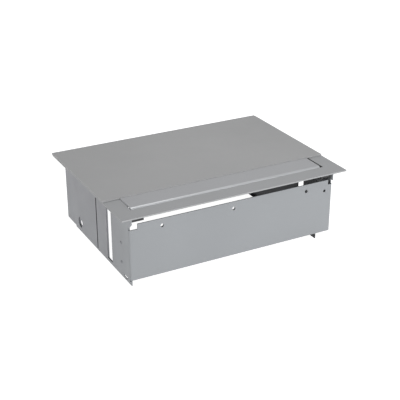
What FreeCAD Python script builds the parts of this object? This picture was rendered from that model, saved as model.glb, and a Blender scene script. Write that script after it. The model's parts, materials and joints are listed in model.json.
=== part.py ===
import FreeCAD, Part
import math
import os

os.makedirs("parts", exist_ok=True)
V = FreeCAD.Vector

# ---------------------------------------------------------------- dimensions
# overall, mm; origin at the middle of the footprint, on the plane the unit stands on
W = 300.0            # frame length, left to right
D = 220.0            # frame depth, front to back
Z_TOP = 90.0         # upper face of the frame
T_FRAME = 1.6
SEAT = 0.1           # the field inside the rim is set up by this much, and the box seats in it
R_CORNER = 2.0       # outer corners of frame and lid
OPEN_X = 129.2       # half width of the frame opening
OPEN_X_FLAP = 130.1  # its right edge beside the flap
OPEN_Y0 = -88.3      # front and rear edge of the frame opening
OPEN_Y1 = 86.0

# lid and its rolled hinge
T_LID = 1.7
Z_LID = 90.1         # underside of the lid
LID_Y0 = -56.7       # front edge of the lid
HINGE_Y = 108.4
HINGE_Z = 90.0
HINGE_R = 1.6
HINGE_PIN_R = 0.75
HINGE_BORE_R = 0.80
HINGE_KNUCKLES = 9
HINGE_GAP = 0.4
PLATE_Y1 = 106.4     # where the flat sheets stop in front of the knuckles

# cable flap
FLAP_X0, FLAP_X1 = -128.4, 126.0
FLAP_Y1 = -57.0
FLAP_Z = 91.3        # upper face, a little proud of the frame
T_FLAP = 1.5
NOSE_Y, NOSE_Z, NOSE_R = -84.75, 88.55, 2.75
FLAP_AXIS_Y = -82.0
FLAP_AXIS_Z = 86.8
FLAP_BARREL_R = 2.2
FLAP_PIN_R = 1.0
FLAP_BORE_R = 1.06

# outer shells
T_SHELL = 1.2
WALL_X = 137.2       # outer face of the side walls
FRONT_Y = -99.6      # outer face of the front panel
BACK_Y = 100.0       # outer face of the back panel
R_BEND = 2.2
SHELL_Z0 = 3.5       # lower edge of the side walls
PANEL_Z0 = 6.5       # lower and upper edge of the front panel
PANEL_Z1 = 76.9
RELIEF_Z = 70.5      # foot of the corner reliefs
SEAM_Y = -3.0
SEAM_GAP = 2.4
SLOT_Y0, SLOT_Y1 = -48.0, -33.5
SLOT_R_Y0, SLOT_R_Y1 = -47.0, -26.0
SLOT_Z0, SLOT_Z1 = 6.0, 80.0
HOLE_XS = (-96.0, -3.0, 99.0)
HOLE_Z = 68.0
HOLE_R = 2.15
COLLAR = 2.7         # depth of the panel holes with their drawn collars
ENTRY_Y, ENTRY_Z, ENTRY_R = 53.0, 15.0, 7.0
ENTRY_BORE_R = 6.2
INNER_ENTRY_Y, INNER_ENTRY_Z, INNER_ENTRY_R = 53.8, 13.2, 3.7

# inner chassis
T_CH = 1.2
CH_L = -134.75       # inner face of the left plate
CH_R = 115.0         # left face of the right plate
CH_R_FOOT = 110.6    # inner edge of its folded foot
CH_Y1 = 73.0
CH_TOP = 78.0

# socket carrier, leaning back
TILT = 65.0
CAR_Y, CAR_Z = 47.5, 57.3
T_CAR = 1.5
ROW_X0 = -122.0      # left end of the row of modules
MOD = 45.0
HALF = 22.5
N_SOCKETS = 3
CUP_R = 19.5
CUP_DEPTH = 17.5
PIN_SPACING = 19.0
BASE_Z = -36.0
FACE_Z = 1.5

# way through the right chassis plate for the inner leads
WIRE_Y, WIRE_Z = 66.0, 38.0

# fixing clamps
CL_X = 122.0
CL_Y = -40.25
CL_SCREW_R = 2.5
CL_BORE_R = 2.56
CL_PIVOT_X = 129.2
CL_PIVOT_Z = 8.0


# ---------------------------------------------------------------- helpers
def box(x0, x1, y0, y1, z0, z1):
    return Part.makeBox(x1 - x0, y1 - y0, z1 - z0, V(x0, y0, z0))


def cyl_x(x0, x1, y, z, r):
    return Part.makeCylinder(r, x1 - x0, V(x0, y, z), V(1, 0, 0))


def cyl_y(y0, y1, x, z, r):
    return Part.makeCylinder(r, y1 - y0, V(x, y0, z), V(0, 1, 0))


def cyl_z(z0, z1, x, y, r):
    return Part.makeCylinder(r, z1 - z0, V(x, y, z0), V(0, 0, 1))


def prism_x(points, x0, x1):
    """A flat outline in the YZ plane, drawn out along X."""
    wire = Part.makePolygon([V(x0, y, z) for y, z in points + points[:1]])
    return Part.Face(wire).extrude(V(x1 - x0, 0, 0))


def prism_z(points, z0, z1):
    wire = Part.makePolygon([V(x, y, z0) for x, y in points + points[:1]])
    return Part.Face(wire).extrude(V(0, 0, z1 - z0))


def fuse(first, *rest):
    return first.fuse(list(rest)).removeSplitter() if rest else first


def cut(shape, *tools):
    return shape.cut(list(tools))


def mirror_x(shape):
    return shape.mirror(V(0, 0, 0), V(1, 0, 0))


def round_box(x0, x1, y0, y1, z0, z1, r):
    """A plate with its four upright corners rounded."""
    plate = box(x0, x1, y0, y1, z0, z1)
    upright = [
        e
        for e in plate.Edges
        if abs(e.Vertexes[0].Point.x - e.Vertexes[1].Point.x) < 1e-6
        and abs(e.Vertexes[0].Point.y - e.Vertexes[1].Point.y) < 1e-6
    ]
    return plate.makeFillet(r, upright)


def tilted(shape, x=0.0):
    """From the carrier's own axes (x along it, y up its face, z out of it)."""
    out = shape.copy()
    turn = FreeCAD.Placement(
        V(x, CAR_Y, CAR_Z), FreeCAD.Rotation(V(1, 0, 0), TILT)
    )
    out.Placement = turn.multiply(out.Placement)
    return out


def tilted_point(x, y, z):
    a = math.radians(TILT)
    return V(
        x,
        CAR_Y + y * math.cos(a) - z * math.sin(a),
        CAR_Z + y * math.sin(a) + z * math.cos(a),
    )


def out(name, *solids):
    shape = Part.makeCompound(list(solids)) if len(solids) > 1 else solids[0]
    shape.exportStep("parts/" + name + ".step")


# ---------------------------------------------------------------- hinge line
pitch = 2 * 149.6 / HINGE_KNUCKLES
knuckle_spans = [
    (
        -149.6 + i * pitch + HINGE_GAP / 2 * (i > 0),
        -149.6 + (i + 1) * pitch - HINGE_GAP / 2 * (i < HINGE_KNUCKLES - 1),
    )
    for i in range(HINGE_KNUCKLES)
]
hinge_bore = cyl_x(-151, 151, HINGE_Y, HINGE_Z, HINGE_BORE_R)


def knuckles(which, z0, z1):
    parts = []
    for i, (x0, x1) in enumerate(knuckle_spans):
        if i % 2 == which:
            parts.append(cyl_x(x0, x1, HINGE_Y, HINGE_Z, HINGE_R))
            parts.append(box(x0, x1, PLATE_Y1 - 1.0, HINGE_Y, z0, z1))
    return parts


# ---------------------------------------------------------------- top frame
SCREW_SPOTS = [(s * 132.8, y) for s in (-1, 1) for y in (-20.0, 18.0, 78.0)]
frame = round_box(-W / 2, W / 2, -D / 2, PLATE_Y1, Z_TOP - T_FRAME, Z_TOP, 0.8)
frame = cut(
    frame,
    round_box(-OPEN_X, OPEN_X, OPEN_Y0, OPEN_Y1, 80, 95, 1.2),
    round_box(OPEN_X - 4.0, OPEN_X_FLAP, OPEN_Y0, -54.0, 80, 95, 1.2),
    box(-139.4, 139.4, -107.2, 102.6, 80, Z_TOP - T_FRAME + SEAT),
)
frame = fuse(
    frame,
    box(-OPEN_X - 1.0, FLAP_X0 - 0.15, -77.0, -54.0, Z_TOP - T_FRAME + SEAT, Z_TOP),
    *knuckles(0, Z_TOP - T_FRAME, Z_TOP),
)
frame = cut(
    frame,
    hinge_bore,
    *[
        Part.makeCone(1.55, 2.95, 1.4, V(x, y, Z_TOP - 1.4), V(0, 0, 1))
        for x, y in SCREW_SPOTS
    ],
    *[cyl_z(80, 95, x, y, 1.55) for x, y in SCREW_SPOTS],
)
out("top_frame", frame)

screws = []
for x, y in SCREW_SPOTS:
    head = Part.makeCone(1.5, 2.85, 1.35, V(x, y, Z_TOP - 1.37), V(0, 0, 1))
    shank = cyl_z(83.5, Z_TOP - 0.5, x, y, 1.5)
    cross = [
        box(x - 1.6, x + 1.6, y - 0.3, y + 0.3, Z_TOP - 0.9, Z_TOP + 1),
        box(x - 0.3, x + 0.3, y - 1.6, y + 1.6, Z_TOP - 0.9, Z_TOP + 1),
    ]
    screws.append(cut(fuse(head, shank), *cross))
out("frame_screws", *screws)

# ---------------------------------------------------------------- lid
lid = round_box(-W / 2, W / 2, LID_Y0, PLATE_Y1, Z_LID, Z_LID + T_LID, 0.8)
lid = fuse(lid, *knuckles(1, Z_LID, HINGE_Z + HINGE_R))
lid = cut(lid, hinge_bore)
out("lid_panel", lid)
out("lid_hinge_pin", cyl_x(-149.4, 149.4, HINGE_Y, HINGE_Z, HINGE_PIN_R))


def hat_rail(y, half_top, half_foot, depth, t=1.0):
    z = Z_LID
    outer = [
        (y - half_foot, z),
        (y - half_foot, z - t),
        (y - half_top, z - t),
        (y - half_top + 2.5, z - depth),
        (y + half_top - 2.5, z - depth),
        (y + half_top, z - t),
        (y + half_foot, z - t),
        (y + half_foot, z),
        (y + half_top - t * 0.9, z),
        (y + half_top - 2.5 - t * 0.9, z - depth + t),
        (y - half_top + 2.5 + t * 0.9, z - depth + t),
        (y - half_top + t * 0.9, z),
    ]
    return prism_x(outer, -112.0, 112.0)


out("lid_rail_front", hat_rail(-18.0, 9.0, 14.0, 6.0))
out("lid_rail_rear", hat_rail(72.0, 6.0, 10.0, 5.0))

# ---------------------------------------------------------------- cable flap
zf = FLAP_Z - T_FLAP
flap = fuse(
    cyl_x(FLAP_X0, FLAP_X1, NOSE_Y, NOSE_Z, NOSE_R),
    cyl_x(FLAP_X0, FLAP_X1, FLAP_AXIS_Y, FLAP_AXIS_Z, FLAP_BARREL_R),
    box(FLAP_X0, FLAP_X1, NOSE_Y, FLAP_Y1, zf, FLAP_Z),
    box(-121.0, 121.0, FLAP_Y1 - 1.2, FLAP_Y1, 85.5, zf),
    box(FLAP_X0, FLAP_X0 + 1.2, -76.0, FLAP_Y1, 86.0, zf),
)
flap = cut(
    flap,
    cyl_x(-140, 140, NOSE_Y, NOSE_Z, 1.2),
    cyl_x(-140, 140, FLAP_AXIS_Y, FLAP_AXIS_Z, FLAP_BORE_R),
)
out("cable_flap", flap)
out("flap_pin", cyl_x(-134.0, 134.0, FLAP_AXIS_Y, FLAP_AXIS_Z, FLAP_PIN_R))

zb = Z_TOP - T_FRAME + SEAT


def flap_block(inner, boss):
    """Pivot block under one end of the frame, drawn for the left side."""
    body = fuse(
        box(-134.6, -inner, -98.3, -89.2, 79.4, zb),
        box(-134.6, -129.4, -98.3, -58.4, 80.0, zb),
        box(-134.6, -122.5, -66.0, -58.4, 80.5, 84.5),
        box(-126.6, -122.5, -66.0, -58.4, 84.0, zf - 0.3),
        cyl_x(-130.0, -boss, FLAP_AXIS_Y, FLAP_AXIS_Z, 1.65),
    )
    return cut(
        body, cyl_x(-134.3, -110, FLAP_AXIS_Y, FLAP_AXIS_Z, FLAP_PIN_R + 0.01)
    )


out("flap_block_left", flap_block(118.0, 128.8))
out("flap_block_right", mirror_x(flap_block(120.9, 126.4)))


# ---------------------------------------------------------------- outer shells
def bent_wall(y_end, y_plane, z0, z1):
    """Panel with two wings: plan outline with rounded bends, drawn up in Z."""
    lo, hi = min(y_end, y_plane), max(y_end, y_plane)
    solid = box(-WALL_X, WALL_X, lo, hi, z0, z1)
    edges = [
        e
        for e in solid.Edges
        if abs(e.Vertexes[0].Point.z - e.Vertexes[1].Point.z) > 1
        and abs(e.Vertexes[0].Point.y - y_plane) < 1e-6
    ]
    solid = solid.makeFillet(R_BEND, edges)
    s = 1 if y_end > y_plane else -1
    inner = box(
        -WALL_X + T_SHELL,
        WALL_X - T_SHELL,
        min(y_plane + s * T_SHELL, y_end + s * 5),
        max(y_plane + s * T_SHELL, y_end + s * 5),
        z0,
        z1,
    )
    edges = [
        e
        for e in inner.Edges
        if abs(e.Vertexes[0].Point.z - e.Vertexes[1].Point.z) > 1
        and abs(e.Vertexes[0].Point.y - (y_plane + s * T_SHELL)) < 1e-6
    ]
    inner = inner.makeFillet(R_BEND - T_SHELL, edges)
    return solid.cut(inner)


def top_tabs(ys):
    tabs = []
    for s in (-1, 1):
        for y in ys:
            x0, x1 = sorted((s * 129.6, s * (WALL_X - 0.6)))
            tabs.append(box(x0, x1, y - 8, y + 8, zb - T_SHELL, zb))
    return tabs


tab_holes = [cyl_z(80, 95, x, y, 1.52) for x, y in SCREW_SPOTS]
bend_y = FRONT_Y + R_BEND + 0.2
front = bent_wall(SEAM_Y - SEAM_GAP / 2, FRONT_Y, SHELL_Z0, zb)
front = cut(
    front,
    box(-140, 140, -105, bend_y, PANEL_Z1, 95),
    box(-140, -126.6, -105, bend_y, RELIEF_Z, 95),
    box(130.8, 140, -105, bend_y, RELIEF_Z, 95),
    box(-140, 140, -105, bend_y, 0, PANEL_Z0),
)
ear = prism_x(
    [(bend_y, 74.0), (-99.4, 74.0), (-106.0, 80.5), (-106.0, zb), (bend_y, zb)],
    -WALL_X,
    -WALL_X + T_SHELL,
)
ear_right = box(WALL_X - T_SHELL, WALL_X, -101.0, bend_y, 75.6, zb)
foot = box(-WALL_X, -WALL_X + T_SHELL, FRONT_Y, bend_y, SHELL_Z0, PANEL_Z0 - 0.4)
front = fuse(front, ear, ear_right, *top_tabs([-20.0]))
front = fuse(
    front,
    foot,
    *[
        cyl_y(FRONT_Y + 0.5, FRONT_Y + COLLAR, x, HOLE_Z, HOLE_R + 1.0)
        for x in HOLE_XS
    ],
)
RIVETS = [(-75.5, 45.0), (-75.5, 20.0)]
front = cut(
    front,
    *tab_holes,
    *[cyl_y(-105, -95, x, HOLE_Z, HOLE_R) for x in HOLE_XS],
    cyl_y(-105, -95, 126.0, 63.0, 1.75),
    box(-140, -130, SLOT_Y0, SLOT_Y1, SLOT_Z0, SLOT_Z1),
    box(130, 140, SLOT_R_Y0, SLOT_R_Y1, SLOT_Z0, SLOT_Z1),
    box(130, 140, -105, SEAM_Y, 0, PANEL_Z0),
    box(-140, -130, -91.4, -81.6, 4.6, 7.4),
    *[cyl_x(-140, 140, y, z, 1.62) for y, z in RIVETS],
)
out("front_shell", front)

rear = bent_wall(SEAM_Y + SEAM_GAP / 2, BACK_Y, SHELL_Z0, zb)
rear = cut(rear, box(-134, 134, 96, 105, 0, 5.0))
rear = fuse(rear, *top_tabs([18.0, 78.0]))
rear = cut(
    rear,
    *tab_holes,
    cyl_x(-140, 140, ENTRY_Y, ENTRY_Z, ENTRY_R),
)
out("rear_shell", rear)

# ---------------------------------------------------------------- inner chassis
carrier_spots = [tilted_point(0, y, -12.0) for y in (-14.0, 12.0)]
left = fuse(
    box(CH_L - T_CH, CH_L, -97.1, CH_Y1, 0, CH_TOP),
    box(CH_L - T_CH, CH_L, FRONT_Y, -97.1, 0, PANEL_Z0 - 0.4),
)
left = cut(
    left,
    box(-140, -130, -50.5, SLOT_Y1, 5.0, 95),
    box(-140, -130, -92.4, -78.0, 2.0, 9.0),
    cyl_x(-140, -130, INNER_ENTRY_Y, INNER_ENTRY_Z, INNER_ENTRY_R),
    *[cyl_x(-140, -130, y, z, 1.62) for y, z in RIVETS],
    *[cyl_x(-140, -130, p.y, p.z, 1.62) for p in carrier_spots],
)
out("chassis_plate_left", left)

right = fuse(
    box(CH_R, CH_R + T_CH, -97.1, CH_Y1, 0, CH_TOP),
    box(CH_R, CH_R + T_CH, FRONT_Y, -97.1, 0, PANEL_Z0 - 0.4),
    box(CH_R_FOOT, CH_R + T_CH, -85.0, 70.0, 0, T_CH),
)
right = cut(
    right,
    box(112, 120, -69.4, -57.8, 54.0, 70.0),
    cyl_x(110, 120, WIRE_Y, WIRE_Z, 5.5),
    *[cyl_x(110, 120, p.y, p.z, 1.62) for p in carrier_spots],
)
out("chassis_plate_right", right)
out(
    "splice_plate_right",
    box(WALL_X - T_SHELL - 1.25, WALL_X - T_SHELL - 0.05, -22.0, 20.0, 10.0, 78.0),
)

rivets = []
for s in (-1, 1):
    for y, z in RIVETS:
        head = Part.makeSphere(2.9, V(-WALL_X + 1.7, y, z)).common(
            box(-WALL_X - 2, -WALL_X - 0.02, y - 4, y + 4, z - 4, z + 4)
        )
        reach = 133.2 if s < 0 else 134.4
        shank = cyl_x(-WALL_X - 0.5, -reach + 1.2, y, z, 1.6)
        tail = cyl_x(-reach + 0.02, -reach + 1.2, y, z, 2.4)
        one = fuse(head, shank, tail)
        rivets.append(one if s < 0 else mirror_x(one))
out("wall_rivets", *rivets)

x_in = -WALL_X + T_SHELL
bush = fuse(
    cyl_x(-WALL_X - 0.7, -WALL_X - 0.02, ENTRY_Y, ENTRY_Z, 7.9),
    cyl_x(-WALL_X - 0.3, x_in + 0.4, ENTRY_Y, ENTRY_Z, ENTRY_R - 0.02),
    cyl_x(x_in + 0.03, x_in + 0.7, ENTRY_Y, ENTRY_Z, 7.4),
)
bush = cut(bush, cyl_x(-145, -125, ENTRY_Y, ENTRY_Z, ENTRY_BORE_R))
out("cable_bush", mirror_x(bush))

# ---------------------------------------------------------------- socket carrier
X0, X1 = CH_L + 0.05, CH_R - 0.05
carrier = box(X0, X1, -26.5, 27.0, -T_CAR, 0)
end_l = box(X0, X0 + T_CAR, -22.0, 20.0, -20.0, -0.5)
end_r = box(X1 - T_CAR, X1, -22.0, 20.0, -20.0, -0.5)
brim = box(X0, X1, 26.0 - T_CAR + 1.0, 27.0, -8.0, -0.5)
slots = [(ROW_X0 + MOD * (i + 0.5), MOD) for i in range(N_SOCKETS)]
slots += [(ROW_X0 + MOD * N_SOCKETS + HALF * (i + 0.5), HALF) for i in range(4)]
carrier = fuse(carrier, end_l, end_r, brim)
carrier = cut(
    carrier,
    *[
        box(x - w / 2 + 1.0, x + w / 2 - 1.0, -21.5, 21.5, -10, 5)
        for x, w in slots
    ],
    *[cyl_x(-200, 200, y, -12.0, 1.62) for y in (-14.0, 12.0)],
)
out("socket_carrier", tilted(carrier))

spots = []
for y in (-14.0, 12.0):
    for x, s in ((X0 + T_CAR, 1), (X1 - T_CAR, -1)):
        x_head = sorted((x + s * 0.02, x + s * 2.2))
        x_shank = sorted((x - s * (T_CAR + T_CH - 0.05), x + s * 0.5))
        head = cyl_x(x_head[0], x_head[1], y, -12.0, 3.0)
        shank = cyl_x(x_shank[0], x_shank[1], y, -12.0, 1.6)
        one = fuse(head, shank)
        x_slot = sorted((x + s * 1.3, x + s * 5))
        one = cut(
            one,
            box(x_slot[0], x_slot[1], y - 2.0, y + 2.0, -12.35, -11.65),
            box(x_slot[0], x_slot[1], y - 0.35, y + 0.35, -14.0, -10.0),
        )
        spots.append(tilted(one))
out("carrier_screws", *spots)

# ---------------------------------------------------------------- mains sockets
hp = PIN_SPACING / 2
floor = FACE_Z - CUP_DEPTH
for i in range(N_SOCKETS):
    xc = slots[i][0]
    name = "socket_%d_" % (i + 1)
    face = fuse(
        round_box(-22.4, 22.4, -22.4, 22.4, 0.02, FACE_Z, 1.0),
        cyl_z(floor - 1.6, 0.5, 0, 0, CUP_R + 1.3),
    )
    face = cut(
        face,
        cyl_z(floor, 5, 0, 0, CUP_R),
        cyl_z(-30, 0, -hp, 0, 2.6),
        cyl_z(-30, 0, hp, 0, 2.6),
        box(-2.8, 2.8, 17.7, 19.5, floor - 3, floor + 1),
        box(-2.8, 2.8, -19.5, -17.7, floor - 3, floor + 1),
    )
    key_l = box(-CUP_R - 0.5, -CUP_R + 2.0, -3.0, 3.0, floor, -1.5)
    key_r = box(CUP_R - 2.0, CUP_R + 0.5, -3.0, 3.0, floor, -1.5)
    face = fuse(face, key_l, key_r)
    out(name + "face", tilted(face, xc))

    base = box(-21.0, 21.0, -21.0, 21.0, BASE_Z, floor - 1.7)
    base = cut(
        base,
        box(-15.0, 15.0, -4.4, 13.6, floor - 3.2, floor),
        box(-hp - 3.6, -hp + 3.6, -4.0, 4.0, -33.6, floor),
        box(hp - 3.6, hp + 3.6, -4.0, 4.0, -33.6, floor),
        box(-2.8, 2.8, 17.7, 19.5, floor - 8, floor),
        box(-2.8, 2.8, -19.5, -17.7, floor - 8, floor),
        cyl_y(-30, -12, -hp, -29.0, 1.9),
        cyl_y(-30, -12, hp, -29.0, 1.9),
        cyl_y(-30, -12, 0, -29.0, 1.9),
    )
    out(name + "base", tilted(base, xc))

    clips = []
    for x in (-hp, hp):
        clips.append(
            tilted(
                fuse(
                    box(x - 3.2, x - 2.4, -3.4, 3.4, -33.4, floor - 4.0),
                    box(x + 2.4, x + 3.2, -3.4, 3.4, -33.4, floor - 4.0),
                    box(x - 3.2, x + 3.2, -3.4, 3.4, -33.4, -32.6),
                ),
                xc,
            )
        )
    out(name + "contacts", *clips)

    earth = []
    for s in (-1, 1):
        y0, y1 = sorted((s * 18.3, s * 19.1))
        b0, b1 = sorted((s * 17.2, s * 18.6))
        earth.append(
            tilted(
                fuse(
                    box(-2.4, 2.4, y0, y1, floor - 7.5, -3.5),
                    box(-2.4, 2.4, b0, b1, -8.5, -5.5),
                ),
                xc,
            )
        )
    out(name + "earth_clips", *earth)

    shutter = box(-13.6, 13.6, -3.4, 6.6, floor - 2.9, floor - 2.0)
    out(name + "shutter", tilted(shutter, xc))

# ---------------------------------------------------------------- charger module
xc = slots[N_SOCKETS][0]
body = fuse(
    round_box(-11.15, 11.15, -22.4, 22.4, 0.02, FACE_Z, 0.8),
    box(-9.9, 9.9, -21.0, 21.0, -30.0, 0.5),
)
body = cut(
    body,
    box(-6.5, 6.5, 5.0, 10.6, -13.0, 5),
    round_box(-4.6, 4.6, -9.7, -6.3, -9.0, 5, 1.6),
)
out("charger_body", tilted(body, xc))
out(
    "charger_tongues",
    tilted(box(-5.4, 5.4, 7.9, 9.9, -12.98, -1.0), xc),
    tilted(box(-3.3, 3.3, -8.4, -7.6, -8.98, -1.5), xc),
)

# ---------------------------------------------------------------- data jacks
for k in (1, 2):
    xc = slots[N_SOCKETS + k][0]
    body = fuse(
        round_box(-11.15, 11.15, -22.4, 22.4, 0.02, FACE_Z, 0.8),
        box(-9.9, 9.9, -14.0, 14.0, -30.0, 0.5),
        box(-9.9, 9.9, 17.5, 21.0, -5.0, 0.5),
        box(-9.9, 9.9, -21.0, -17.5, -5.0, 0.5),
        box(-9.6, -7.6, -21.6, 6.5, 0.5, 3.9),
        box(7.6, 9.6, -21.6, 6.5, 0.5, 3.9),
        box(-9.6, -6.6, -21.6, 6.5, 3.1, 3.9),
        box(6.6, 9.6, -21.6, 6.5, 3.1, 3.9),
    )
    body = cut(
        body,
        box(-5.9, 5.9, -5.0, 3.6, -15.0, 5),
        box(-3.1, 3.1, -7.0, -4.5, -8.0, 5),
    )
    out("data_%d_body" % k, tilted(body, xc))
    wires = []
    for n in range(8):
        x = (n - 3.5) * 1.02
        wires.append(
            tilted(
                prism_x(
                    [(3.4, -14.9), (3.4, -3.0), (3.0, -2.6), (0.4, -12.0), (0.8, -12.4), (2.9, -4.2), (2.9, -14.9)],
                    x - 0.2,
                    x + 0.2,
                ),
                xc,
            )
        )
    out("data_%d_contacts" % k, *wires)
    shutter = fuse(
        box(-7.2, 7.2, -7.6, 5.4, 1.85, 2.75),
        box(-4.0, 4.0, 3.6, 5.0, 2.5, 4.6),
    )
    out("data_%d_shutter" % k, tilted(shutter, xc))

# ---------------------------------------------------------------- blank plate
xc = slots[N_SOCKETS + 3][0]
blank = fuse(
    round_box(-11.15, 11.15, -22.4, 22.4, 0.02, FACE_Z, 0.8),
    box(-8.0, 8.0, 19.6, 21.0, -6.0, 0.5),
    box(-8.0, 8.0, -21.0, -19.6, -6.0, 0.5),
)
out("blank_plate", tilted(blank, xc))

# ---------------------------------------------------------------- supply terminals
tb0 = CH_R + T_CH + 0.05
block = box(tb0, tb0 + 13.0, 8.0, 50.0, 22.0, 40.0)
poles = [15.0, 29.0, 43.0]
block = cut(
    block,
    *[cyl_x(tb0 + 3.0, tb0 + 20, y, 28.0, 2.2) for y in poles],
    *[cyl_z(30.0, 50, tb0 + 6.5, y, 2.6) for y in poles],
)
out("terminal_block", block)
heads = []
for y in poles:
    screw = cyl_z(30.4, 37.0, tb0 + 6.5, y, 2.3)
    heads.append(
        cut(screw, box(tb0 + 4, tb0 + 9, y - 0.4, y + 0.4, 35.8, 40))
    )
out("terminal_screws", *heads)

# earth stud with its nut, through the right chassis plate
stud = fuse(
    cyl_x(CH_R + T_CH + 0.03, CH_R + T_CH + 12.0, 62.0, 25.0, 2.0),
    cyl_x(CH_R + T_CH + 0.03, CH_R + T_CH + 1.5, 62.0, 25.0, 4.0),
)
hexagon = prism_z(
    [
        (3.9 * math.cos(math.radians(60 * n)), 3.9 * math.sin(math.radians(60 * n)))
        for n in range(6)
    ],
    0,
    3.0,
)
nut = cut(hexagon, cyl_z(-1, 5, 0, 0, 2.02))
nut.Placement = FreeCAD.Placement(
    V(CH_R + T_CH + 4.5, 62.0, 25.0), FreeCAD.Rotation(V(0, 1, 0), 90)
)
out("earth_stud", stud, nut)


# ---------------------------------------------------------------- inner wiring
def wire(points, r, bend):
    """Round lead along a path whose corners are rounded."""
    edges, last = [], points[0]
    for a, b, c in zip(points, points[1:], points[2:]):
        u, w = (a - b).normalize(), (c - b).normalize()
        half = math.acos(max(-1.0, min(1.0, u.dot(w)))) / 2
        run = bend / math.tan(half)
        p, q = b + u * run, b + w * run
        m = (u + w).normalize()
        mid = b + m * (bend / math.sin(half) - bend)
        if (p - last).Length > 1e-6:
            edges.append(Part.makeLine(last, p))
        edges.append(Part.Arc(p, mid, q).toShape())
        last = q
    edges.append(Part.makeLine(last, points[-1]))
    path = Part.Wire(edges)
    start = (points[1] - points[0]).normalize()
    ring = Part.Wire(Part.Edge(Part.Circle(points[0], start, r)))
    return path.makePipeShell([ring], True, True)


for n, name in enumerate(("line", "neutral", "earth")):
    y_hole = WIRE_Y + (0.0, -2.8, 2.6)[n]
    z_hole = WIRE_Z + (3.2, -0.4, -1.4)[n]
    y_turn = (56.0, 55.0, 62.0)[n]
    level = (46.0, 42.0, 37.0)[n]
    up = (1.0, -12.0, -5.0)[n]
    x_end = slots[0][0] + 4.0 * (n - 1)
    points = [
        V(tb0 + 13.05, poles[n], 28.0),
        V(tb0 + 15.6, poles[n], 28.0),
        V(tb0 + 15.6, poles[n], level),
        V(tb0 + 15.6, y_turn, level),
        V(tb0 + 8.0, y_hole, z_hole),
        V(CH_R - 5.0, y_hole, z_hole),
        tilted_point(CH_R - 14.0, up, BASE_Z - 3.2),
        tilted_point(x_end, up, BASE_Z - 3.2),
        tilted_point(x_end, up, BASE_Z - 0.05),
    ]
    out("wire_" + name, wire(points, 1.1, 1.8))


# ---------------------------------------------------------------- fixing clamps
def clamp(side, wall):
    """One clamp for the left side; the other is its mirror image."""
    flip = (lambda s: s) if side == "left" else mirror_x
    top0, top1 = 80.5, 82.0
    bracket = fuse(
        box(-wall, -wall + 1.4, -84.0, -51.5, 12.0, 77.0),
        box(-wall, -wall + 1.4, -60.0, -51.5, 1.0, 14.0),
        box(-wall, -wall + 1.4, -57.5, -51.5, 70.0, top1),
        box(-wall, -117.2, -57.5, -51.5, top0, top1),
        box(-127.0, -117.2, -57.5, -34.0, top0, top1),
        box(-wall, -117.2, -57.5, -51.5, 1.0, 2.5),
        box(-127.0, -117.2, -57.5, -34.0, 1.0, 2.5),
    )
    bracket = cut(
        bracket,
        cyl_z(0, 95, -CL_X, CL_Y, CL_BORE_R),
        *[cyl_x(-140, -130, y, z, 1.62) for y, z in RIVETS],
    )
    out("clamp_bracket_" + side, flip(bracket))

    screw = fuse(
        cyl_z(0.6, 83.0, -CL_X, CL_Y, CL_SCREW_R),
        cyl_z(82.3, 85.3, -CL_X, CL_Y, 4.4),
    )
    cross = [
        box(-CL_X - 2.6, -CL_X + 2.6, CL_Y - 0.5, CL_Y + 0.5, 83.5, 90),
        box(-CL_X - 0.5, -CL_X + 0.5, CL_Y - 2.6, CL_Y + 2.6, 83.5, 90),
    ]
    out("clamp_screw_" + side, flip(cut(screw, *cross)))

    y0, y1 = -45.5, -35.0
    carriage = fuse(
        box(-127.2, -117.7, y0, y1, 4.0, 16.0),
        box(-131.8, -127.0, y0, -43.2, 4.0, 12.0),
        box(-131.8, -127.0, -37.3, y1, 4.0, 12.0),
        box(-131.8, -127.0, y0, y1, 4.0, 6.0),
    )
    carriage = cut(
        carriage,
        cyl_z(0, 95, -CL_X, CL_Y, CL_BORE_R),
        cyl_y(-50, -30, -CL_PIVOT_X, CL_PIVOT_Z, 1.26),
    )
    out("clamp_carriage_" + side, flip(carriage))

    a, b = -CL_PIVOT_X - 1.6, -CL_PIVOT_X + 1.6
    claw = fuse(
        cyl_y(-42.9, -37.6, -CL_PIVOT_X, CL_PIVOT_Z, 1.6),
        box(a, b, -42.9, -37.6, CL_PIVOT_Z, 13.5),
        box(a, b, -46.0, -34.5, 13.2, 22.0),
        cyl_y(y0, y1, -CL_PIVOT_X, CL_PIVOT_Z, 1.2),
    )
    teeth = [
        prism_x([(y - 0.9, 22.2), (y, 20.6), (y + 0.9, 22.2)], a - 1, b + 1)
        for y in (-44.0, -42.0, -40.25, -38.5, -36.5)
    ]
    out("clamp_claw_" + side, flip(cut(claw, *teeth)))


clamp("left", -CH_L)
clamp("right", WALL_X - T_SHELL - 0.05)
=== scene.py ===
import json
import math

import bmesh
import bpy
from mathutils import Matrix, Vector

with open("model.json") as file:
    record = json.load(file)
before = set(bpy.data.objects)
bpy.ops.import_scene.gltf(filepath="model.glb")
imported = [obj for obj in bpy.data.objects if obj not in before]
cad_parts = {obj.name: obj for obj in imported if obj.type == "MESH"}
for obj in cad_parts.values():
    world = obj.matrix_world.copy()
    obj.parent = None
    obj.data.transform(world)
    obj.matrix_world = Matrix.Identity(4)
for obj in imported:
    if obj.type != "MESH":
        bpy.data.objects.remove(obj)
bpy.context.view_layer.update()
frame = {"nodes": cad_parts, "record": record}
nodes = frame["nodes"]
scene = bpy.context.scene
scene.view_settings.view_transform = "Standard"
scene.view_settings.look = "None"


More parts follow.
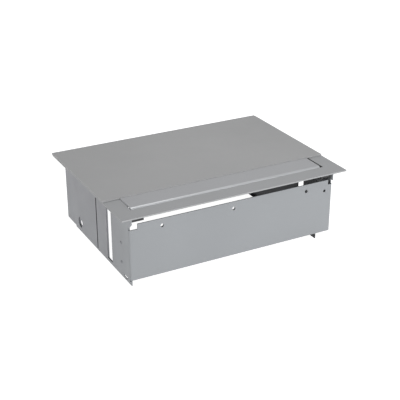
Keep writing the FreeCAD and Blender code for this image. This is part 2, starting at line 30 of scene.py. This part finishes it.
# ------------------------------------------------------------------ materials
class Finish:
    """One procedural finish. Textures run in the part's own coordinates, in metres."""

    def __init__(self, name, rough=0.5, metal=0.0, spec=0.5):
        self.m = bpy.data.materials.new(name)
        self.m.use_nodes = True
        self.t = self.m.node_tree
        self.t.nodes.clear()
        self.out = self.t.nodes.new("ShaderNodeOutputMaterial")
        self.b = self.t.nodes.new("ShaderNodeBsdfPrincipled")
        self.join(self.b.outputs[0], self.out.inputs[0])
        self.place = self.t.nodes.new("ShaderNodeTexCoord")
        self.b.inputs["Roughness"].default_value = rough
        self.b.inputs["Metallic"].default_value = metal
        self.b.inputs["Specular IOR Level"].default_value = spec
        self.last_bump = None

    def join(self, a, b):
        self.t.links.new(a, b)

    def spot(self, stretch):
        if stretch is None:
            return self.place.outputs["Object"]
        n = self.t.nodes.new("ShaderNodeMapping")
        n.inputs["Scale"].default_value = stretch
        self.join(self.place.outputs["Object"], n.inputs["Vector"])
        return n.outputs[0]

    def noise(self, size, detail=2.0, rough=0.5, bend=0.0, stretch=None):
        """Noise with blobs about this size, in metres."""
        n = self.t.nodes.new("ShaderNodeTexNoise")
        n.inputs["Scale"].default_value = 1.0 / size
        n.inputs["Detail"].default_value = detail
        n.inputs["Roughness"].default_value = rough
        n.inputs["Distortion"].default_value = bend
        self.join(self.spot(stretch), n.inputs["Vector"])
        return n.outputs["Fac"]

    def cells(self, size, feature="F1", what="Distance", stretch=None):
        n = self.t.nodes.new("ShaderNodeTexVoronoi")
        n.feature = feature
        n.inputs["Scale"].default_value = 1.0 / size
        self.join(self.spot(stretch), n.inputs["Vector"])
        return n.outputs[what]

    def span(self, fac, lo, hi, a=0.3, b=0.7):
        n = self.t.nodes.new("ShaderNodeMapRange")
        n.inputs["From Min"].default_value = a
        n.inputs["From Max"].default_value = b
        n.inputs["To Min"].default_value = lo
        n.inputs["To Max"].default_value = hi
        self.join(fac, n.inputs["Value"])
        return n.outputs[0]

    def maths(self, op, a, b):
        n = self.t.nodes.new("ShaderNodeMath")
        n.operation = op
        for k, x in enumerate((a, b)):
            if isinstance(x, (int, float)):
                n.inputs[k].default_value = x
            else:
                self.join(x, n.inputs[k])
        return n.outputs[0]

    def mix(self, fac, a, b, how="MIX"):
        n = self.t.nodes.new("ShaderNodeMix")
        n.data_type = "RGBA"
        n.blend_type = how
        if isinstance(fac, (int, float)):
            n.inputs["Factor"].default_value = fac
        else:
            self.join(fac, n.inputs["Factor"])
        for key, x in ((6, a), (7, b)):
            if isinstance(x, (tuple, list)):
                n.inputs[key].default_value = (*x[:3], 1.0)
            else:
                self.join(x, n.inputs[key])
        return n.outputs[2]

    def bump(self, height, distance, strength=1.0):
        n = self.t.nodes.new("ShaderNodeBump")
        n.inputs["Strength"].default_value = strength
        n.inputs["Distance"].default_value = distance
        self.join(height, n.inputs["Height"])
        if self.last_bump is not None:
            self.join(self.last_bump, n.inputs["Normal"])
        self.last_bump = n.outputs[0]
        self.join(self.last_bump, self.b.inputs["Normal"])

    def colour(self, out):
        self.join(out, self.b.inputs["Base Color"])

    def roughness(self, out):
        self.join(out, self.b.inputs["Roughness"])


def shade(c, k):
    return tuple(min(1.0, x * k) for x in c)


def paint(name, base, lo=0.36, hi=0.48, metal=0.0, worn=False, spec=0.5, painted_shade=None, cut=(), painted_strips=()):
    """Satin powder coat: faint cloudiness, fine flake, orange peel, rubbed patches.

    A depth ramp darkens the colour from one depth to another, and more so higher up: painted shade towards the back
    and under the flange.
    Faces turned one way, and narrow strips across, are multiplied by a set tone: darker tones are painted shade,
    lighter tones painted highlight.
    """
    f = Finish(name, metal=metal, spec=spec)
    cloud = f.span(f.noise(0.11, 3.0), 0.0, 1.0)
    col = f.mix(cloud, shade(base, 0.965), shade(base, 1.035))
    fleck = f.span(f.noise(0.0006, 1.0), 0.0, 1.0)
    col = f.mix(fleck, shade(base, 0.93), shade(base, 1.07)) if worn else f.mix(
        f.maths("MULTIPLY", fleck, 0.22), col, shade(base, 1.22)
    )
    if worn:
        rub_and_sheen = f.span(f.noise(0.006, 4.0, 0.65), 0.0, 1.0, 0.42, 0.62)
        col = f.mix(rub_and_sheen, shade(base, 1.08), shade(base, 1.5))
    # painted shade: colour darker towards the back of the wall and higher up, under the flange
    if painted_shade:
        part = f.t.nodes.new("ShaderNodeSeparateXYZ")
        f.join(f.place.outputs["Object"], part.inputs[0])
        deep = f.span(part.outputs["Y"], 0.0, 1.0, *painted_shade[:2])
        high = f.span(part.outputs["Z"], 0.62, 1.0, 0.020, 0.075)
        col = f.mix(f.maths("MULTIPLY", deep, high), col, painted_shade[2], "MULTIPLY")
    # narrow strips across multiplied by a set tone: painted shade in the seam, painted highlight at the slot edge
    for at, half, tone in painted_strips:
        spot = f.t.nodes.new("ShaderNodeSeparateXYZ")
        f.join(f.place.outputs["Object"], spot.inputs[0])
        away = f.maths("ABSOLUTE", f.maths("SUBTRACT", spot.outputs["Y"], at), 0.0)
        col = f.mix(f.span(away, 1.0, 0.0, half, half + 0.0001), col, tone, "MULTIPLY")
    # faces turned one way multiplied by a set tone: darker tones are painted shade, lighter tones painted highlight
    # on the sheet edges
    for way, sign, tone in cut:
        face = f.t.nodes.new("ShaderNodeSeparateXYZ")
        f.join(f.place.outputs["Normal"], face.inputs[0])
        on = f.span(face.outputs[way], 0.0, 1.0, sign * 0.5, sign * 0.9)
        col = f.mix(on, col, tone, "MULTIPLY")
    f.colour(col)
    rub_and_sheen = f.noise(0.028, 4.0, 0.6)
    f.roughness(f.span(rub_and_sheen, lo, hi))
    f.bump(f.noise(0.16, 1.0), 0.0011, 0.35)
    f.bump(f.noise(0.0013, 2.0, 0.55), 0.00005, 0.30)
    return f.m


def rolled(name, base, painted_highlight, y0, y1, lo=0.36, hi=0.48):
    """Powder coat like the rest, with a painted highlight along the rolled front edge: a paler colour there, and a
    partly metallic coat that reflects the lamps.

    Left-facing faces are painted lighter, a painted highlight on the left end.
    """
    f = Finish(name)
    part = f.t.nodes.new("ShaderNodeSeparateXYZ")
    f.join(f.place.outputs["Object"], part.inputs[0])
    edge = f.span(part.outputs["Y"], 0.0, 1.0, y0, y1)
    rub_and_sheen = f.maths("MULTIPLY", edge, f.span(f.noise(0.012, 4.0, 0.6, stretch=(0.25, 1.0, 1.0)), 0.82, 1.0))
    cloud = f.span(f.noise(0.11, 3.0), 0.0, 1.0)
    col = f.mix(cloud, shade(base, 0.965), shade(base, 1.035))
    fleck = f.span(f.noise(0.0006, 1.0), 0.0, 1.0)
    col = f.mix(f.maths("MULTIPLY", fleck, 0.22), col, shade(base, 1.22))
    face = f.t.nodes.new("ShaderNodeSeparateXYZ")
    f.join(f.place.outputs["Normal"], face.inputs[0])
    # rolled front edge painted paler: a painted highlight, while the same mask also gives it a real metallic sheen
    col = f.mix(rub_and_sheen, col, painted_highlight)
    # left-facing faces painted 2.4 times lighter: painted highlight on the flap's left end
    f.colour(f.mix(f.span(face.outputs["X"], 0.0, 1.0, -0.5, -0.9), col, (2.4, 2.4, 2.4), "MULTIPLY"))
    f.join(f.maths("MULTIPLY", rub_and_sheen, 0.52), f.b.inputs["Metallic"])
    f.roughness(f.span(f.noise(0.028, 4.0, 0.6), lo, hi))
    f.bump(f.noise(0.16, 1.0), 0.0011, 0.35)
    f.bump(f.noise(0.0013, 2.0, 0.55), 0.00005, 0.30)
    return f.m


def zinc(name, base, dark):
    """Galvanised sheet: soft spangle, rolling lines, dull blotches."""
    f = Finish(name, metal=0.75)
    flake = f.cells(0.006, what="Color")
    grey = f.t.nodes.new("ShaderNodeSeparateColor")
    f.join(flake, grey.inputs[0])
    col = f.mix(grey.outputs[0], dark, base)
    blot = f.span(f.noise(0.03, 4.0, 0.6), 0.0, 0.6)
    col = f.mix(blot, col, shade(dark, 0.85))
    f.colour(col)
    f.roughness(f.maths("ADD", f.span(grey.outputs[1], 0.0, 0.12, 0.0, 1.0), f.span(f.noise(0.02, 3.0), 0.34, 0.46)))
    f.bump(f.noise(0.0012, 2.0, stretch=(0.05, 1.0, 1.0)), 0.00003, 0.25)
    f.bump(f.noise(0.12, 1.0), 0.0010, 0.3)
    return f.m


def steel(name, base, lo, hi):
    """Bright plated steel with fine turning marks."""
    f = Finish(name, metal=1.0)
    f.colour(f.mix(f.span(f.noise(0.004, 4.0, 0.6), 0.0, 1.0), shade(base, 0.86), shade(base, 1.08)))
    f.roughness(f.span(f.noise(0.002, 3.0), lo, hi))
    f.bump(f.noise(0.0005, 2.0, stretch=(1.0, 1.0, 4.0)), 0.00002, 0.35)
    return f.m


def threaded(name, base, at, pitch, z0, z1):
    """Plated screw: a helical thread about an upright axis, between two heights, its grooves painted darker as
    painted shade.
    """
    f = Finish(name, metal=1.0)
    part = f.t.nodes.new("ShaderNodeSeparateXYZ")
    f.join(f.place.outputs["Object"], part.inputs[0])
    x = f.maths("SUBTRACT", part.outputs["X"], at[0])
    y = f.maths("SUBTRACT", part.outputs["Y"], at[1])
    turn = f.maths("DIVIDE", f.maths("ARCTAN2", y, x), 2 * math.pi)
    run = f.maths("SUBTRACT", f.maths("DIVIDE", part.outputs["Z"], pitch), turn)
    wave = f.maths("PINGPONG", run, 0.5)
    inside = f.maths(
        "MULTIPLY",
        f.maths("GREATER_THAN", part.outputs["Z"], z0),
        f.maths("LESS_THAN", part.outputs["Z"], z1),
    )
    tooth = f.maths("MULTIPLY", wave, inside)
    # thread grooves painted darker than the crests: painted shade in the grooves
    f.colour(f.mix(f.maths("MULTIPLY", tooth, 1.4), shade(base, 0.55), shade(base, 1.05)))
    f.roughness(f.span(f.noise(0.002, 3.0), 0.24, 0.40))
    f.bump(tooth, 0.0007, 1.0)
    f.bump(f.noise(0.0005, 2.0), 0.00002, 0.3)
    return f.m


def cast(name, base):
    f = Finish(name, metal=0.8)
    f.colour(f.mix(f.span(f.noise(0.003, 5.0, 0.7), 0.0, 1.0), shade(base, 0.75), shade(base, 1.1)))
    f.roughness(f.span(f.noise(0.002, 4.0), 0.42, 0.62))
    f.bump(f.noise(0.0007, 4.0, 0.65), 0.00008, 0.5)
    return f.m


def plastic(name, base, lo, hi, grain=0.0006, depth=0.00004, drift=0.05, spec=0.5):
    """Moulded plastic: fine spark-eroded grain, faint flow marks."""
    f = Finish(name, spec=spec)
    flow = f.span(f.noise(0.02, 3.0, bend=0.8), 0.0, 1.0)
    f.colour(f.mix(flow, shade(base, 1 - drift), shade(base, 1 + drift)))
    f.roughness(f.span(f.noise(0.007, 4.0, 0.6), lo, hi))
    f.bump(f.noise(grain, 2.0), depth, 0.4)
    return f.m


def insulation(name, base, stripe=None):
    """Extruded lead insulation, with a lengthwise stripe where it has two colours."""
    f = Finish(name)
    col = f.mix(f.span(f.noise(0.006, 3.0), 0.0, 1.0), shade(base, 0.88), shade(base, 1.12))
    if stripe:
        part = f.t.nodes.new("ShaderNodeSeparateXYZ")
        f.join(f.place.outputs["Normal"], part.inputs[0])
        side = f.span(part.outputs["Z"], 0.0, 1.0, 0.10, 0.22)
        col = f.mix(side, col, stripe)
    f.colour(col)
    f.roughness(f.span(f.noise(0.004, 3.0), 0.36, 0.52))
    f.bump(f.noise(0.0009, 2.0), 0.00003, 0.35)
    return f.m


# painted shade in the upright seam of the left wall, and a painted highlight on a narrow strip at the slot edge
SEAM_SHADE_SLOT_HIGHLIGHT = ((-0.003, 0.00124, (0.28, 0.28, 0.29)), (-0.0335, 0.00008, (1.40, 1.40, 1.40)))

LOOK = {
    # lid and frame: left-facing sheet edges painted darker (painted shade), front-facing sheet edges painted lighter
    # (painted highlight)
    "lid_grey": paint("lid_grey", (0.321, 0.321, 0.321), cut=(("X", -1, (0.80, 0.80, 0.80)), ("Y", -1, (1.42, 1.42, 1.42)))),
    "frame_grey": paint("frame_grey", (0.306, 0.310, 0.315), cut=(("X", -1, (0.80, 0.80, 0.80)), ("Y", -1, (1.15, 1.15, 1.15)))),
    "flap_grey": rolled("flap_grey", (0.335, 0.338, 0.347), (0.51, 0.52, 0.53), -0.0842, -0.0855),
    # shell_grey and inner_grey: the depth ramp is painted shade on the upper rear of the walls
    "shell_grey": paint(
        "shell_grey", (0.302, 0.313, 0.325), 0.42, 0.55, spec=0.25,
        painted_shade=(-0.090, -0.030, (0.865, 0.842, 0.860)), painted_strips=SEAM_SHADE_SLOT_HIGHLIGHT,
        # upward-facing shell faces painted much darker: painted shade under the frame
        cut=(("Z", 1, (0.35, 0.35, 0.36)),),
    ),
    # matt black sheet for the right chassis plate; its near-black tone is partly painted shade, keeping the inside
    # of the housing dark
    "chassis_dark": paint("chassis_dark", (0.036, 0.037, 0.040), 0.52, 0.66, spec=0.22),
    "worn_grey": paint("worn_grey", (0.312, 0.318, 0.325), 0.30, 0.42, worn=True),
    "inner_grey": paint(
        "inner_grey", (0.302, 0.313, 0.325), 0.42, 0.55, spec=0.25,
        painted_shade=(-0.090, -0.030, (0.865, 0.842, 0.860)), painted_strips=SEAM_SHADE_SLOT_HIGHLIGHT,
    ),
    "chassis_zinc": zinc("chassis_zinc", (0.40, 0.41, 0.42), (0.28, 0.285, 0.29)),
    "bright_steel": steel("bright_steel", (0.62, 0.62, 0.61), 0.20, 0.36),
    "cast_zinc": cast("cast_zinc", (0.46, 0.46, 0.47)),
    "black_plastic": plastic("black_plastic", (0.018, 0.018, 0.019), 0.38, 0.56),
    "black_rubber": plastic("black_rubber", (0.016, 0.016, 0.016), 0.62, 0.82, 0.0008, 0.00006),
    "white_plastic": plastic("white_plastic", (0.78, 0.775, 0.75), 0.24, 0.36, 0.0009, 0.00002, 0.02),
    "shutter_plastic": plastic("shutter_plastic", (0.20, 0.205, 0.21), 0.32, 0.46),
    "dust_plastic": plastic("dust_plastic", (0.50, 0.50, 0.49), 0.30, 0.42, 0.0008, 0.00003, 0.03),
    "brass": steel("brass", (0.70, 0.50, 0.22), 0.20, 0.36),
    "wire_brown": insulation("wire_brown", (0.15, 0.065, 0.03)),
    "wire_blue": insulation("wire_blue", (0.025, 0.08, 0.33)),
    "wire_green": insulation("wire_green", (0.05, 0.28, 0.06), (0.72, 0.58, 0.03)),
}
for side, x in (("left", -0.122), ("right", 0.122)):
    LOOK["thread_" + side] = threaded(
        "thread_" + side, (0.60, 0.60, 0.59), (x, -0.04025), 0.0008, 0.0012, 0.0800
    )
SLOT = {s["node"]: s["material_slot"] for s in frame["record"]["subparts"]}


# ------------------------------------------------------------------ CAD nodes
def dress(node, look, width, segments=2, edge=None, angle=30.0, merge=True):
    """Finish on a node, its coplanar facets merged where they have no window, edges broken."""
    o = nodes[node]
    o.data.materials.clear()
    o.data.materials.append(LOOK[look])
    if edge:
        o.data.materials.append(LOOK[edge])
    if width <= 0:
        return
    weld = o.modifiers.new("weld", "WELD")
    weld.merge_threshold = 2e-6
    if merge:
        flat = o.modifiers.new("flat", "DECIMATE")
        flat.decimate_type = "DISSOLVE"
        flat.angle_limit = math.radians(0.5)
    cut = o.modifiers.new("edges", "BEVEL")
    cut.width = width
    cut.segments = segments
    cut.limit_method = "ANGLE"
    cut.angle_limit = math.radians(angle)
    cut.use_clamp_overlap = not merge
    cut.miter_outer = "MITER_ARC"
    if edge:
        cut.material = 1
    even = o.modifiers.new("normals", "WEIGHTED_NORMAL")
    even.keep_sharp = False
    even.weight = 60


EDGE = {
    "top_frame": 0.00025, "lid_panel": 0.00018, "cable_flap": 0.00014,
    "front_shell": 0.00018, "rear_shell": 0.00018,
    "chassis_plate_left": 0.00018, "chassis_plate_right": 0.00018,
    "splice_plate_right": 0.00018, "socket_carrier": 0.00020,
    "lid_rail_front": 0.00015, "lid_rail_rear": 0.00015,
    "flap_block_left": 0.0004, "flap_block_right": 0.0004,
    "socket_1_face": 0.0002, "socket_2_face": 0.0002, "socket_3_face": 0.0002,
    "charger_body": 0.00015, "blank_plate": 0.0002,
    "data_1_body": 0.00015, "data_2_body": 0.00015,
    "data_1_shutter": 0.00010, "data_2_shutter": 0.00010,
}
WINDOWED = (
    "top_frame", "socket_carrier", "flap_block_left",
    "socket_1_face", "socket_2_face", "socket_3_face",
    "charger_body", "data_1_body", "data_2_body",
)
WORN = ("frame_grey", "lid_grey", "flap_grey")
for name in sorted(nodes):
    slot = SLOT[name]
    edge = "worn_grey" if slot in WORN else None
    look = name.replace("clamp_screw", "thread") if name.startswith("clamp_screw") else slot
    if name in ("data_1_shutter", "data_2_shutter"):
        look = "dust_plastic"
    elif name == "chassis_plate_left":
        look = "inner_grey"
    dress(name, look, EDGE.get(name, 0.0), edge=edge, merge=name not in WINDOWED)

# ------------------------------------------------------------------ stage
floor_mesh = bpy.data.meshes.new("floor")
bm = bmesh.new()
bmesh.ops.create_grid(bm, x_segments=8, y_segments=8, size=6.0)
bmesh.ops.translate(bm, verts=bm.verts, vec=(0, 0, -0.0004))
bm.to_mesh(floor_mesh)
bm.free()
floor = bpy.data.objects.new("floor", floor_mesh)
scene.collection.objects.link(floor)
mat = bpy.data.materials.new("floor_white")
mat.use_nodes = True
t = mat.node_tree
b = t.nodes["Principled BSDF"]
b.inputs["Base Color"].default_value = (0.45, 0.45, 0.45, 1)
b.inputs["Roughness"].default_value = 0.9
b.inputs["Specular IOR Level"].default_value = 0.1
b.inputs["Emission Color"].default_value = (1, 1, 1, 1)
b.inputs["Emission Strength"].default_value = 0.94
floor_mesh.materials.append(mat)

world = bpy.data.worlds.new("studio")
scene.world = world
world.use_nodes = True
sky = world.node_tree.nodes["Background"]
sky.inputs["Color"].default_value = (0.985, 0.99, 1.0, 1)
way = world.node_tree.nodes.new("ShaderNodeTexCoord")
axis = world.node_tree.nodes.new("ShaderNodeSeparateXYZ")
fade = world.node_tree.nodes.new("ShaderNodeMapRange")
fade.inputs["From Min"].default_value = -1.0
fade.inputs["From Max"].default_value = 1.0
fade.inputs["To Min"].default_value = 0.26
fade.inputs["To Max"].default_value = 0.74
low = world.node_tree.nodes.new("ShaderNodeMapRange")
low.inputs["From Min"].default_value = 0.075
low.inputs["From Max"].default_value = 0.135
low.inputs["To Min"].default_value = 1.0
low.inputs["To Max"].default_value = 0.0
blend = world.node_tree.nodes.new("ShaderNodeMix")
blend.inputs[3].default_value = 1.03
world.node_tree.links.new(way.outputs["Generated"], axis.inputs[0])
world.node_tree.links.new(axis.outputs["X"], fade.inputs["Value"])
world.node_tree.links.new(axis.outputs["Z"], low.inputs["Value"])
world.node_tree.links.new(low.outputs[0], blend.inputs[0])
world.node_tree.links.new(fade.outputs[0], blend.inputs[2])
world.node_tree.links.new(blend.outputs[0], sky.inputs["Strength"])


def softbox(name, at, to, size, watts, tint=(1, 1, 1)):
    d = bpy.data.lights.new(name, "AREA")
    d.shape = "RECTANGLE"
    d.size, d.size_y = size
    d.energy = watts
    d.color = tint
    o = bpy.data.objects.new(name, d)
    scene.collection.objects.link(o)
    o.location = at
    o.rotation_euler = (Vector(to) - Vector(at)).to_track_quat("-Z", "Y").to_euler()
    return o


softbox("top_box", (0.03, -0.02, 0.62), (0.02, -0.02, 0.08), (0.20, 0.20), 0.92)
softbox("fill_box", (-0.30, -0.20, 1.2), (0, 0.0, 0.08), (0.80, 0.60), 0.9, (1.0, 0.985, 0.995))
softbox("front_box", (0.40, -1.5, 0.6), (0, -0.1, 0.05), (1.2, 0.8), 7.5, (0.97, 0.985, 1.0))

# ------------------------------------------------------------------ camera
cam_data = bpy.data.cameras.new("camera")
cam_data.sensor_fit = "HORIZONTAL"
cam_data.sensor_width = 36.0
cam_data.lens = 83.02
cam_data.clip_start = 0.02
cam_data.clip_end = 50.0
cam = bpy.data.objects.new("camera", cam_data)
scene.collection.objects.link(cam)
cam.location = (-0.49735, -0.93910, 0.53347)
cam.rotation_euler = (math.radians(90.0 - 25.027), 0.0, math.radians(-28.165))
scene.camera = cam
